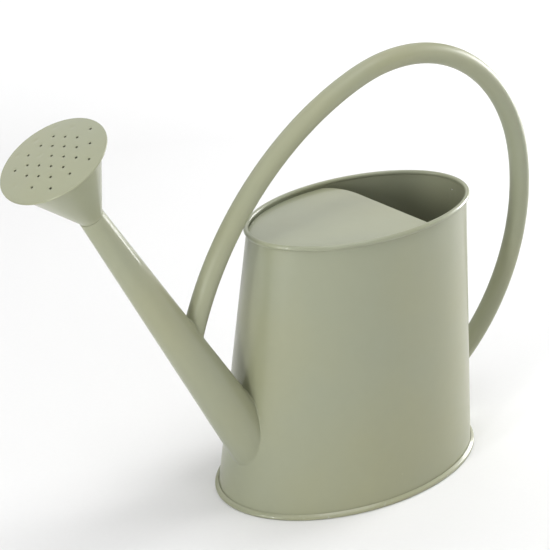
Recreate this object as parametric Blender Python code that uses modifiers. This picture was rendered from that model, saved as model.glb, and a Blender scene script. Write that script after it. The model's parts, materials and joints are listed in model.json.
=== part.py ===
"""An oval sheet-steel watering can: tapered tank, half cover, tapered spout, pull-off rose and hoop handle.

Metres, +Z up. The long axis of the oval tank lies along X and the spout points to -X. The origin is on the
ground, below the middle of the whole can. Run it with blender --background --python part.py.
"""

import math

import bmesh
import bpy
import numpy as np
from mathutils import Matrix, Vector

# Sheet and clearances
SHEET = 0.0006
GAP = 0.0003

# Tank: an oval that tapers upwards, its rim set back from its base. Half sizes are over the beads.
TANK_X = 0.0518
BASE_HALF_LENGTH = 0.1200
BASE_HALF_WIDTH = 0.0792
RIM_HALF_LENGTH = 0.1020
RIM_HALF_WIDTH = 0.0603
RIM_SETBACK = 0.0090
TANK_HEIGHT = 0.2150
OVAL_SIDES = 64

# Wired edge at the rim and double seam at the base
CURL_RADIUS = 0.00155
WIRE_RADIUS = CURL_RADIUS - SHEET - GAP
RIM_PROUD = 2 * CURL_RADIUS - SHEET
SEAM_PROUD = 0.0030
SEAM_HEIGHT = 0.0033
FLANGE_HEIGHT = 0.0017
FLOOR_HEIGHT = 0.0048

# Half cover
COVER_RECESS = 0.0046
COVER_FLANGE = 0.0060
COVER_HEM = 0.0022
COVER_EDGE_X = 0.0347
COVER_CORNER_FALL = 0.0120
COVER_CORNER_START = 0.0240

# Spout: its mouth is where the spigot of the rose goes in
SPOUT_LEAN = math.radians(57.9)
MOUTH_X = -0.2360
MOUTH_HEIGHT = 0.2701
MOUTH_RADIUS = 0.0092
SPOUT_SPREAD = 0.0410
SPOUT_LENGTH = 0.2800
SPOUT_SIDES = 32

# Rose: its cone sits cocked up a little on the spigot
ROSE_COCK = math.radians(1.6)
ROSE_RADIUS = 0.0395
ROSE_LENGTH = 0.0552
FACE_CROWN = 0.0040
CRIMP_DEPTH = 0.0026
CONE_INSET = 0.0045
SPIGOT_LENGTH = 0.0180
SPIGOT_TOP = 0.0015
NECK_RADIUS = 0.0092
HOLE_RADIUS = 0.0009
HOLE_PITCH = 0.265 * ROSE_RADIUS
OUTER_ROW_RADIUS = 0.70 * ROSE_RADIUS
ROW_TURN = math.radians(48.5)
ROSE_SIDES = 40

# Hoop handle: a bent tube that runs from the top of the spout to the back of the tank
TUBE_RADIUS = 0.0080
TUBE_WALL = 0.0008
HANDLE_START = (-0.1555, 0.1446)
HANDLE_HEADING = math.radians(75.8)
HANDLE_BENDS = ((0.2475, 57.3), (0.1366, 94.2), (0.1650, 75.2))
BEND_STEP = 0.0140
TUBE_SIDES = 10

# Solder at the joints, lap seam and hanging hole
FILLET = 0.0022
COVER_FILLET = 0.0016
LAP_WIDTH = 0.0080
LAP_THICK = 0.0008
HANG_HOLE_RADIUS = 0.0013
HANG_HOLE_DROP = 0.0112


def clear_scene():
    for obj in list(bpy.data.objects):
        bpy.data.objects.remove(obj, do_unlink=True)


def new_collection(name, hidden=False):
    collection = bpy.data.collections.new(name)
    collection.hide_render = hidden
    bpy.context.scene.collection.children.link(collection)
    return collection


def material(name, colour, roughness, metallic):
    made = bpy.data.materials.new(name)
    made.use_nodes = True
    shader = made.node_tree.nodes["Principled BSDF"]
    shader.inputs["Base Color"].default_value = (*colour, 1.0)
    shader.inputs["Roughness"].default_value = roughness
    shader.inputs["Metallic"].default_value = metallic
    made.diffuse_color = (*colour, 1.0)
    return made


def mesh_object(name, bm, collection, finish=None):
    """An object from a bmesh, smooth except across sharp corners."""
    bmesh.ops.recalc_face_normals(bm, faces=bm.faces)
    mesh = bpy.data.meshes.new(name)
    bm.to_mesh(mesh)
    bm.free()
    obj = bpy.data.objects.new(name, mesh)
    collection.objects.link(obj)
    if finish:
        mesh.materials.append(finish)
    mesh.shade_smooth()
    mesh.set_sharp_from_angle(angle=math.radians(35.0))
    return obj


def make_cutter(obj):
    obj.hide_render = True
    obj.display_type = "WIRE"
    return obj


def boolean(obj, other, operation="DIFFERENCE"):
    modifier = obj.modifiers.new(operation.title(), "BOOLEAN")
    modifier.operation = operation
    modifier.solver = "EXACT"
    modifier.object = other


def baked(obj):
    """Turns an object's curve or modifiers into a plain mesh, in place."""
    graph = bpy.context.evaluated_depsgraph_get()
    mesh = bpy.data.meshes.new_from_object(obj.evaluated_get(graph))
    bm = bmesh.new()
    bm.from_mesh(mesh)
    bmesh.ops.remove_doubles(bm, verts=bm.verts, dist=1e-6)
    name, place, collection = obj.name, obj.matrix_world.copy(), obj.users_collection[0]
    finish = obj.data.materials[0] if obj.data.materials else None
    bpy.data.objects.remove(obj, do_unlink=True)
    solid = mesh_object(name, bm, collection, finish)
    solid.matrix_world = place
    return solid


def wall_size(height):
    """Half length, half width and centre X of the tank wall's outer face at a height."""
    share = height / TANK_HEIGHT
    half_length = (1 - share) * (BASE_HALF_LENGTH - SEAM_PROUD) + share * (RIM_HALF_LENGTH - RIM_PROUD)
    half_width = (1 - share) * (BASE_HALF_WIDTH - SEAM_PROUD) + share * (RIM_HALF_WIDTH - RIM_PROUD)
    return half_length, half_width, TANK_X + share * RIM_SETBACK


def oval_point(height, outwards, turn):
    """A point this far outside the wall's outer face, at an angle round the oval from the back."""
    half_length, half_width, centre = wall_size(height)
    x = centre + (half_length + outwards) * math.cos(turn)
    y = (half_width + outwards) * math.sin(turn)
    return Vector((x, y, height))


def oval(height, outwards):
    """Points all round the tank, this far outside the wall's outer face."""
    return [oval_point(height, outwards, 2 * math.pi * i / OVAL_SIDES) for i in range(OVAL_SIDES)]


def skin(bm, rings, closed):
    """Faces between one ring of points and the next. Open chains are capped at both ends."""
    loops = [[bm.verts.new(point) for point in ring] for ring in rings]
    pairs = list(zip(loops, loops[1:]))
    if closed:
        pairs.append((loops[-1], loops[0]))
    for low, high in pairs:
        for i in range(len(low)):
            j = (i + 1) % len(low)
            bm.faces.new((low[i], low[j], high[j], high[i]))
    if not closed:
        bm.faces.new(loops[0])
        bm.faces.new(loops[-1])


def sheet_outline(path, thickness=SHEET):
    """The closed outline of a bent sheet whose middle follows the path, with mitred corners."""
    points = [Vector(point) for point in path]
    runs = [(b - a).normalized() for a, b in zip(points, points[1:])]
    left, right = [], []
    for i, point in enumerate(points):
        before, after = runs[max(i - 1, 0)], runs[min(i, len(runs) - 1)]
        normal = Vector((-before.y - after.y, before.x + after.x)).normalized()
        reach = thickness / 2 / max(normal.dot(Vector((-after.y, after.x))), 0.5)
        left.append(point + normal * reach)
        right.append(point - normal * reach)
    return left + right[::-1]


def arc(centre, radius, start, end, steps):
    """Points on an arc in the (outwards, height) plane, angles in degrees."""
    angles = [math.radians(start + (end - start) * i / steps) for i in range(steps + 1)]
    return [(centre[0] + radius * math.cos(a), centre[1] + radius * math.sin(a)) for a in angles]


def wall_solid(name, bottom, top, outwards, collection):
    """A solid oval plug with the wall's taper, used to trim what stands against the tank."""
    bm = bmesh.new()
    skin(bm, [oval(bottom, outwards), oval(top, outwards)], closed=False)
    return make_cutter(mesh_object(name, bm, collection))


def hang_hole_cutter(collection):
    """A cutter for the small hole to hang the can by, high in the middle of the back wall."""
    place = Matrix.Translation(oval_point(TANK_HEIGHT - HANG_HOLE_DROP, 0.0, 0.0))
    turn = Matrix.Rotation(math.radians(90.0), 4, "Y")
    bm = bmesh.new()
    bmesh.ops.create_cone(
        bm,
        cap_ends=True,
        segments=10,
        radius1=HANG_HOLE_RADIUS,
        radius2=HANG_HOLE_RADIUS,
        depth=0.008,
        matrix=place @ turn,
    )
    return make_cutter(mesh_object("hang_hole_cutter", bm, collection))


def build_wall(parts, hang_hole, paint):
    """The tank wall: a turned-out foot, the tapered side and the edge rolled outwards over a wire."""
    middle = -SHEET / 2
    curl = CURL_RADIUS - SHEET / 2
    curl_height = TANK_HEIGHT - CURL_RADIUS
    path = [(SEAM_PROUD - SHEET - 2 * GAP, FLANGE_HEIGHT), (middle, FLANGE_HEIGHT)]
    path += arc((middle + curl, curl_height), curl, 180.0, -105.0, 9)
    bm = bmesh.new()
    skin(bm, [oval(height, outwards) for outwards, height in sheet_outline(path)], closed=True)
    wall = mesh_object("tank_wall", bm, parts, paint)
    boolean(wall, hang_hole)
    return wall


def build_rim_wire(parts, steel):
    """The wire inside the rolled rim."""
    centre = (CURL_RADIUS - SHEET, TANK_HEIGHT - CURL_RADIUS)
    bm = bmesh.new()
    skin(bm, [oval(height, outwards) for outwards, height in arc(centre, WIRE_RADIUS, 0.0, 300.0, 5)], closed=True)
    return mesh_object("rim_wire", bm, parts, steel)


def build_base(parts, paint):
    """The base pan: a raised floor whose edge goes down inside the wall and folds up round its foot."""
    inside = -SHEET - GAP - SHEET / 2
    outside = SEAM_PROUD - SHEET / 2
    path = [
        (-0.030, FLOOR_HEIGHT),
        (inside - 0.0012, FLOOR_HEIGHT),
        (inside, FLOOR_HEIGHT - 0.0012),
        (inside, SHEET / 2),
        (outside, SHEET / 2),
        (outside, SEAM_HEIGHT - SHEET / 2),
        (2 * GAP, SEAM_HEIGHT - SHEET / 2),
    ]
    outline = sheet_outline(path)
    bm = bmesh.new()
    skin(bm, [oval(height, outwards) for outwards, height in outline], closed=False)
    return mesh_object("base_pan", bm, parts, paint)


def build_lap_seam(parts, hang_hole, cutters, paint):
    """The inner lap of the wall sheet, which runs up the back of the tank."""
    bm = bmesh.new()
    bmesh.ops.create_cube(bm, size=1.0)
    bmesh.ops.scale(bm, vec=(0.030, LAP_WIDTH, TANK_HEIGHT - 0.016), verts=bm.verts)
    bmesh.ops.translate(bm, vec=(TANK_X + RIM_HALF_LENGTH + 0.005, 0.0, TANK_HEIGHT / 2 + 0.002), verts=bm.verts)
    lap = mesh_object("wall_lap_seam", bm, parts, paint)
    boolean(lap, wall_solid("lap_outer", -0.01, TANK_HEIGHT + 0.01, -SHEET - GAP, cutters), "INTERSECT")
    boolean(lap, wall_solid("lap_inner", -0.02, TANK_HEIGHT + 0.02, -SHEET - GAP - LAP_THICK, cutters))
    boolean(lap, hang_hole)
    return lap


def cover_turns():
    """Angles round the oval that the cover spans, from its back edge on one side to the other."""
    half_length, _, centre = wall_size(TANK_HEIGHT - COVER_RECESS)
    reach = half_length - SHEET - GAP
    edge_x = TANK_X + COVER_EDGE_X
    first = math.acos((edge_x - COVER_CORNER_FALL - centre) / reach)
    last = 2 * math.pi - math.acos((edge_x - centre) / reach)
    return [first + (last - first) * i / 40 for i in range(41)]


def build_cover(parts, paint):
    """The front half cover: a flat plate with a turned-down flange, and a hemmed back edge.

    The back edge is straight from the -Y side, and falls forward in a cubic curve to its +Y corner.
    """
    top = TANK_HEIGHT - COVER_RECESS
    inside = -SHEET - GAP
    turns = cover_turns()
    upper_line = [oval_point(top, inside, turn) for turn in turns]
    lower_line = [oval_point(top - COVER_FLANGE, inside, turn) for turn in turns]
    near_y = upper_line[-1].y
    far_y = upper_line[0].y
    for i in range(1, 14):
        across = near_y + (far_y - near_y) * i / 14
        corner = max(across - COVER_CORNER_START, 0.0) / (far_y - COVER_CORNER_START)
        edge = Vector((TANK_X + COVER_EDGE_X - COVER_CORNER_FALL * corner**3, across, top))
        upper_line.append(edge)
        lower_line.append(edge - Vector((0.0, 0.0, COVER_HEM)))
    bm = bmesh.new()
    upper = [bm.verts.new(point) for point in upper_line]
    lower = [bm.verts.new(point) for point in lower_line]
    bm.faces.new(upper)
    for i in range(len(upper)):
        j = (i + 1) % len(upper)
        bm.faces.new((upper[j], upper[i], lower[i], lower[j]))
    cover = mesh_object("front_cover", bm, parts, paint)
    bevel = cover.modifiers.new("Bevel", "BEVEL")
    bevel.width = 0.0009
    bevel.segments = 2
    bevel.limit_method = "ANGLE"
    bevel.angle_limit = math.radians(60.0)
    shell = cover.modifiers.new("Solidify", "SOLIDIFY")
    shell.thickness = SHEET
    shell.offset = -1.0
    shell.use_even_offset = True
    return cover


def build_cover_solder(parts, paint):
    """The bead of solder that holds the cover's flange to the wall, along the flange's lower edge."""
    wall_face = -SHEET - GAP
    high = TANK_HEIGHT - COVER_RECESS - COVER_FLANGE - GAP
    outline = [(wall_face, high), (wall_face, high - COVER_FILLET), (wall_face - COVER_FILLET, high)]
    bm = bmesh.new()
    sections = [[oval_point(height, outwards, turn) for outwards, height in outline] for turn in cover_turns()]
    skin(bm, sections, closed=False)
    return mesh_object("cover_solder", bm, parts, paint)


def spout_frame():
    """Turns local +Z to the spout's direction and local +X up across it, about the spout's mouth."""
    tilt = Matrix.Rotation(SPOUT_LEAN - math.pi / 2, 4, "Y")
    return Matrix.Translation((TANK_X + MOUTH_X, 0.0, MOUTH_HEIGHT)) @ tilt


def turned(name, outline, sides, collection, finish=None):
    """A turned solid from a closed outline of (radius, height), which runs down its outer side."""
    bm = bmesh.new()
    verts = [bm.verts.new((radius, 0.0, height)) for radius, height in outline]
    on_axis = [vert for vert in verts if vert.co.x < 1e-7]
    for a, b in zip(verts, verts[1:] + verts[:1]):
        if not (a in on_axis and b in on_axis):
            bm.edges.new((a, b))
    mesh = bpy.data.meshes.new(name)
    bm.to_mesh(mesh)
    bm.free()
    obj = bpy.data.objects.new(name, mesh)
    collection.objects.link(obj)
    if finish:
        mesh.materials.append(finish)
    screw = obj.modifiers.new("Screw", "SCREW")
    screw.steps = sides
    screw.render_steps = sides
    screw.use_smooth_shade = True
    screw.use_merge_vertices = True
    screw.merge_threshold = 0.00001
    return baked(obj)


def spout_radius(along):
    """Outer radius of the spout at a distance along its axis, negative below the mouth."""
    return MOUTH_RADIUS - SPOUT_SPREAD * along


def spout_plug(name, outwards, collection):
    """A solid cone with the spout's taper, used to cut and trim."""
    top, bottom = 0.004, -SPOUT_LENGTH - 0.02
    outline = [
        (0.0, top),
        (spout_radius(top) + outwards, top),
        (spout_radius(bottom) + outwards, bottom),
        (0.0, bottom),
    ]
    plug = turned(name, outline, SPOUT_SIDES, collection)
    plug.matrix_world = spout_frame()
    return make_cutter(plug)


def build_spout(parts, cutters, paint):
    """The tapered spout, open at both ends, its root trimmed to the tank wall."""
    outline = [
        (spout_radius(0.0), 0.0),
        (spout_radius(-SPOUT_LENGTH), -SPOUT_LENGTH),
        (spout_radius(-SPOUT_LENGTH) - SHEET, -SPOUT_LENGTH),
        (spout_radius(0.0) - SHEET, 0.0),
    ]
    spout = turned("spout", outline, SPOUT_SIDES, parts, paint)
    spout.matrix_world = spout_frame()
    boolean(spout, wall_solid("spout_root_trim", -0.02, TANK_HEIGHT + 0.02, GAP, cutters))
    return spout


def handle_line():
    """Points along the handle tube's centre: four bends in a row, each tangent to the next."""
    x, z = HANDLE_START
    heading = HANDLE_HEADING
    points = [Vector((TANK_X + x, 0.0, z))]
    for radius, sweep in HANDLE_BENDS:
        steps = round(radius * math.radians(sweep) / BEND_STEP)
        turn = math.radians(sweep) / steps
        chord = 2 * radius * math.sin(turn / 2)
        for _ in range(steps):
            x += chord * math.cos(heading - turn / 2)
            z += chord * math.sin(heading - turn / 2)
            heading -= turn
            points.append(Vector((TANK_X + x, 0.0, z)))
    return points


def tube_along(name, points, radius, sides, caps, collection, finish=None):
    """A round tube or rod on a line of points, as a mesh."""
    curve = bpy.data.curves.new(name, "CURVE")
    curve.dimensions = "3D"
    spline = curve.splines.new("POLY")
    spline.points.add(len(points) - 1)
    for spot, point in zip(spline.points, points):
        spot.co = (*point, 1.0)
    curve.bevel_depth = radius
    curve.bevel_resolution = (sides - 4) // 2
    curve.use_fill_caps = caps
    if finish:
        curve.materials.append(finish)
    obj = bpy.data.objects.new(name, curve)
    collection.objects.link(obj)
    return baked(obj)


def build_handle(parts, cutters, paint):
    """The bent handle tube, its two ends trimmed to the spout and to the tank wall."""
    handle = tube_along("handle_tube", handle_line(), TUBE_RADIUS, TUBE_SIDES, False, parts, paint)
    shell = handle.modifiers.new("Solidify", "SOLIDIFY")
    shell.thickness = TUBE_WALL
    shell.offset = -1.0
    boolean(handle, spout_plug("handle_front_trim", GAP, cutters))
    boolean(handle, wall_solid("handle_back_trim", -0.02, TANK_HEIGHT + 0.02, GAP, cutters))
    return handle


def build_spout_solder(parts, cutters, paint):
    """The bead of solder round the root of the spout."""
    solder = spout_plug("spout_solder", GAP + FILLET, parts)
    solder.hide_render = False
    solder.display_type = "TEXTURED"
    solder.data.materials.append(paint)
    boolean(solder, wall_solid("spout_solder_reach", 0.004, TANK_HEIGHT - 0.01, GAP + FILLET, cutters), "INTERSECT")
    boolean(solder, spout_plug("spout_solder_bore", GAP, cutters))
    boolean(solder, wall_solid("spout_solder_seat", -0.02, TANK_HEIGHT + 0.02, GAP, cutters))
    return solder


def build_handle_solder(name, stretch, reach, seat, parts, cutters, paint):
    """The bead of solder round one end of the handle: a sleeve on the tube, kept close to what it meets."""
    solder = tube_along(name, stretch, TUBE_RADIUS + GAP + FILLET, TUBE_SIDES + 6, True, parts, paint)
    bore = tube_along(name + "_bore", stretch, TUBE_RADIUS + GAP, TUBE_SIDES + 6, True, cutters)
    boolean(solder, reach, "INTERSECT")
    boolean(solder, make_cutter(bore))
    boolean(solder, seat)
    return solder


def rose_object(name, outline, sides, parts, finish, carrier, cock=0.0):
    """A turned piece of the rose, carried by the empty at the spout's mouth."""
    piece = turned(name, outline, sides, parts, finish)
    piece.parent = carrier
    piece.rotation_euler.y = cock
    return piece


def rose_holes(collection):
    """Cutters for the spray holes: a middle hole, a six-fold pattern round it and an outer row of twelve."""
    spots = [(0.0, 0.0)]
    for i in range(6):
        turn = ROW_TURN + math.radians(60.0) * i
        half_turn = turn + math.radians(30.0)
        spots.append((HOLE_PITCH, turn))
        spots.append((2 * HOLE_PITCH, turn))
        spots.append((3 * HOLE_PITCH, turn))
        spots.append((math.sqrt(3.0) * HOLE_PITCH, half_turn))
        spots.append((OUTER_ROW_RADIUS, half_turn))
    bm = bmesh.new()
    for radius, turn in spots:
        place = Matrix.Translation((radius * math.cos(turn), radius * math.sin(turn), ROSE_LENGTH + 0.001))
        bmesh.ops.create_cone(
            bm, cap_ends=True, segments=8, radius1=HOLE_RADIUS, radius2=HOLE_RADIUS, depth=0.012, matrix=place
        )
    return make_cutter(mesh_object("rose_hole_cutter", bm, collection))


def build_rose(parts, cutters, paint):
    """The rose: a spigot that pushes into the spout, a cone soldered to it, and a crowned, crimped face."""
    carrier = bpy.data.objects.new("rose_axis", None)
    parts.objects.link(carrier)
    carrier.matrix_world = spout_frame()

    spigot_radius = MOUTH_RADIUS - SHEET - GAP
    spigot = [(spigot_radius - SHEET / 2, SPIGOT_TOP), (spigot_radius - SHEET / 2, -SPIGOT_LENGTH)]
    rose_object("rose_spigot", sheet_outline(spigot), SPOUT_SIDES, parts, paint, carrier)
    solder = [
        (NECK_RADIUS, SPIGOT_TOP + GAP + FILLET),
        (NECK_RADIUS - 2 * GAP, SPIGOT_TOP + GAP),
        (spigot_radius - SHEET, SPIGOT_TOP + GAP),
    ]
    rose_object("rose_neck_solder", solder, SPOUT_SIDES, parts, paint, carrier, ROSE_COCK)

    flange_height = ROSE_LENGTH - CRIMP_DEPTH / 2
    cone = [
        (ROSE_RADIUS - SHEET - 2 * GAP, flange_height),
        (ROSE_RADIUS - CONE_INSET, flange_height),
        (NECK_RADIUS - SHEET / 2, 2 * GAP),
    ]
    rose_object("rose_cone", sheet_outline(cone), ROSE_SIDES, parts, paint, carrier, ROSE_COCK)

    edge = ROSE_RADIUS - 0.0016
    crown_radius = (edge**2 + FACE_CROWN**2) / (2 * FACE_CROWN)
    crown = [
        (radius, ROSE_LENGTH + FACE_CROWN - crown_radius + math.sqrt(crown_radius**2 - radius**2))
        for radius in np.linspace(0.0, edge, 7)
    ]
    face = crown + [
        (ROSE_RADIUS - 0.0007, ROSE_LENGTH),
        (ROSE_RADIUS - SHEET / 2, ROSE_LENGTH - 0.0005),
        (ROSE_RADIUS - SHEET / 2, ROSE_LENGTH - CRIMP_DEPTH + 0.0002),
        (ROSE_RADIUS - 0.0007, ROSE_LENGTH - CRIMP_DEPTH),
        (ROSE_RADIUS - 0.0015, ROSE_LENGTH - CRIMP_DEPTH),
    ]
    outline = sheet_outline(face)
    outline[0].x = 0.0
    outline[-1].x = 0.0
    disc = rose_object("rose_face", outline, ROSE_SIDES, parts, paint, carrier, ROSE_COCK)
    holes = rose_holes(cutters)
    holes.parent = carrier
    holes.rotation_euler.y = ROSE_COCK
    boolean(disc, holes)


def main():
    clear_scene()
    parts = new_collection("watering_can")
    cutters = new_collection("cutters", hidden=True)
    paint = material("sage_paint", (0.40, 0.41, 0.31), 0.28, 0.0)
    steel = material("wire_steel", (0.56, 0.57, 0.58), 0.40, 1.0)

    hang_hole = hang_hole_cutter(cutters)
    wall = build_wall(parts, hang_hole, paint)
    boolean(wall, spout_plug("spout_hole_cutter", -2 * SHEET, cutters))
    build_rim_wire(parts, steel)
    build_base(parts, paint)
    build_lap_seam(parts, hang_hole, cutters, paint)
    build_cover(parts, paint)
    build_cover_solder(parts, paint)
    build_spout(parts, cutters, paint)
    build_spout_solder(parts, cutters, paint)
    build_handle(parts, cutters, paint)
    line = handle_line()
    build_handle_solder(
        "handle_front_solder",
        line[:4],
        spout_plug("front_solder_reach", GAP + FILLET, cutters),
        spout_plug("front_solder_seat", GAP, cutters),
        parts,
        cutters,
        paint,
    )
    build_handle_solder(
        "handle_back_solder",
        line[-4:],
        wall_solid("back_solder_reach", 0.01, TANK_HEIGHT - 0.01, GAP + FILLET, cutters),
        wall_solid("back_solder_seat", -0.02, TANK_HEIGHT + 0.02, GAP, cutters),
        parts,
        cutters,
        paint,
    )
    build_rose(parts, cutters, paint)


main()
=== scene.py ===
"""The looks of an oval sheet-steel watering can in glossy sage-green paint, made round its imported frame.

Metres, +Z up, the spout towards -X. Each sub-assembly is a class: Tank, Spout, Handle and Rose hold their
sizes, work their surfaces out on numpy grids and dress them in paint. Studio holds the floor, the light and
the camera.
"""

import json
import logging
import math
from dataclasses import dataclass, field
from enum import Enum
from typing import Callable, Sequence

import bmesh
import bpy
import numpy as np
from mathutils import Matrix, Vector

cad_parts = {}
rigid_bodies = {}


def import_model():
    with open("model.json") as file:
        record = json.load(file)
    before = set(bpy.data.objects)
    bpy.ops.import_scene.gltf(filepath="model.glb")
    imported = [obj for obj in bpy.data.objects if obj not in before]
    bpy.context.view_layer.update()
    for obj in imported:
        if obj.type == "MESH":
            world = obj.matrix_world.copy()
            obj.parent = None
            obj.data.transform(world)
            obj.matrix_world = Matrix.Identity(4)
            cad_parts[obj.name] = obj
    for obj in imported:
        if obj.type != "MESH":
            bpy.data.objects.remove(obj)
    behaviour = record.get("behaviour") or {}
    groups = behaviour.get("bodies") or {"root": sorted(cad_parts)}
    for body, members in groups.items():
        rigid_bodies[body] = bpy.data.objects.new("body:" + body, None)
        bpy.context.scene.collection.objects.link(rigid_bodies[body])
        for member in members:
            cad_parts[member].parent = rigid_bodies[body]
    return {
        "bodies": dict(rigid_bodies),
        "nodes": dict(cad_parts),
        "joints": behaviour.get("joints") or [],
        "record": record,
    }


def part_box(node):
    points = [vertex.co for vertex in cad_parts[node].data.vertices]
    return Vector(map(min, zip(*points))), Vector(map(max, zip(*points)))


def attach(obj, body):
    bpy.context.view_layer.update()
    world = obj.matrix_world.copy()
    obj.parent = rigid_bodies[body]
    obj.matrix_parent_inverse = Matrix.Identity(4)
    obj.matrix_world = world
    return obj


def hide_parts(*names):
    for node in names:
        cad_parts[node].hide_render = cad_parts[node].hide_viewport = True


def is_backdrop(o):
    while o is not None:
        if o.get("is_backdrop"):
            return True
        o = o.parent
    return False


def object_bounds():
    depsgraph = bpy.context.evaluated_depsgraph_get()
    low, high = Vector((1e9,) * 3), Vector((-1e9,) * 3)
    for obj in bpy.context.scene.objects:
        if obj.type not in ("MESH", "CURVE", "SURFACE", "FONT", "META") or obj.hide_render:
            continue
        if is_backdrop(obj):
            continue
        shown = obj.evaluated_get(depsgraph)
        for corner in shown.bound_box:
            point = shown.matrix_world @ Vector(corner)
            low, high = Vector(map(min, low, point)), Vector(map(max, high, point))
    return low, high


Numbers = float | np.ndarray
Depth = Callable[[np.ndarray], np.ndarray]

LOG = logging.getLogger("watering_can")
FULL_TURN = 2.0 * math.pi
SHARP_ANGLE = math.radians(38.0)
X_AXIS = np.array([1.0, 0.0, 0.0])
Y_AXIS = np.array([0.0, 1.0, 0.0])
Z_AXIS = np.array([0.0, 0.0, 1.0])


class Body(Enum):
    """The bodies that pieces ride on."""

    CAN = "can"
    ROSE = "rose"


# ---------------------------------------------------------------- shader networks


class Wire:
    """A shader socket that carries a number, with arithmetic: every operator adds a Math node."""

    def __init__(self, network: "Network", socket: bpy.types.NodeSocket) -> None:
        """Wraps the output socket of a node in its network."""
        self.network = network
        self.socket = socket

    def math(self, operation: str, first: object, second: object = 0.0, clamp: bool = False) -> "Wire":
        """Adds a Math node.

        Args:
            operation: the node's operation, such as "ADD".
            first: a Wire or a number.
            second: a Wire or a number.
            clamp: keeps the result between 0 and 1.

        Returns:
            The node's result.
        """
        settings = {"operation": operation, "use_clamp": clamp}
        made = self.network.node("ShaderNodeMath", settings, {"Value": first, "Value_001": second})
        return made["Value"]

    def __add__(self, other: object) -> "Wire":
        """self + other."""
        return self.math("ADD", self, other)

    __radd__ = __add__

    def __sub__(self, other: object) -> "Wire":
        """self - other."""
        return self.math("SUBTRACT", self, other)

    def __rsub__(self, other: object) -> "Wire":
        """other - self."""
        return self.math("SUBTRACT", other, self)

    def __mul__(self, other: object) -> "Wire":
        """self * other."""
        return self.math("MULTIPLY", self, other)

    __rmul__ = __mul__

    def __truediv__(self, other: object) -> "Wire":
        """self / other."""
        return self.math("DIVIDE", self, other)

    def clamped(self) -> "Wire":
        """self, kept between 0 and 1."""
        return self.math("ADD", self, 0.0, clamp=True)

    def ramp(self, low: float, high: float) -> "Wire":
        """0 at `low` and below, 1 at `high` and above, straight between; `high` may be the smaller."""
        return ((self - low) / (high - low)).clamped()


class Network:
    """The node tree of one material or world."""

    def __init__(self, tree: bpy.types.NodeTree) -> None:
        """Wraps a tree and removes the nodes it starts with."""
        self.tree = tree
        tree.nodes.clear()

    def node(self, kind: str, settings: dict[str, object], sockets: dict[str, object]) -> dict[str, Wire]:
        """Adds a node.

        Args:
            kind: the node's type.
            settings: its properties, such as a Math node's operation, set before its sockets.
            sockets: a value or a Wire for each input, by identifier or name.

        Returns:
            Its outputs as Wires, by identifier and by name.
        """
        made = self.tree.nodes.new(kind)
        for key, value in settings.items():
            setattr(made, key, value)
        for key, value in sockets.items():
            named = [socket for socket in made.inputs if socket.name == key]
            matches = [socket for socket in made.inputs if socket.identifier == key] or named
            if isinstance(value, Wire):
                self.tree.links.new(value.socket, matches[0])
            else:
                matches[0].default_value = value
        outputs = {socket.name: Wire(self, socket) for socket in made.outputs}
        outputs.update({socket.identifier: Wire(self, socket) for socket in made.outputs})
        return outputs

    def object_place(self) -> Wire:
        """Object coordinates, in metres from the can's own origin."""
        return self.node("ShaderNodeTexCoord", {}, {})["Object"]

    def noise(self, place: Wire, scale: float, detail: float = 2.0, roughness: float = 0.5) -> Wire:
        """Smooth noise between 0 and 1, with `scale` blotches to the metre."""
        inputs = {"Vector": place, "Scale": scale, "Detail": detail, "Roughness": roughness}
        return self.node("ShaderNodeTexNoise", {}, inputs)["Fac"]

    def blend(self, share: Wire, first: object, second: object) -> Wire:
        """A colour between two, `share` of the way to the second."""
        inputs = {"Factor_Float": share, "A_Color": first, "B_Color": second}
        return self.node("ShaderNodeMix", {"data_type": "RGBA"}, inputs)["Result_Color"]

    def surface(self, sockets: dict[str, object]) -> None:
        """Adds the surface's shader and joins it to the output."""
        shader = self.node("ShaderNodeBsdfPrincipled", {}, sockets)
        self.node("ShaderNodeOutputMaterial", {}, {"Surface": shader["BSDF"]})


def new_material(name: str) -> tuple[bpy.types.Material, Network]:
    """Makes a material.

    Args:
        name: the material's name.

    Returns:
        The material and its empty node tree.
    """
    made = bpy.data.materials.new(name)
    made.use_nodes = True
    return made, Network(made.node_tree)


def opaque(colour: Sequence[float], gain: float = 1.0) -> tuple[float, float, float, float]:
    """A colour times a gain, with full alpha."""
    return (colour[0] * gain, colour[1] * gain, colour[2] * gain, 1.0)


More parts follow.
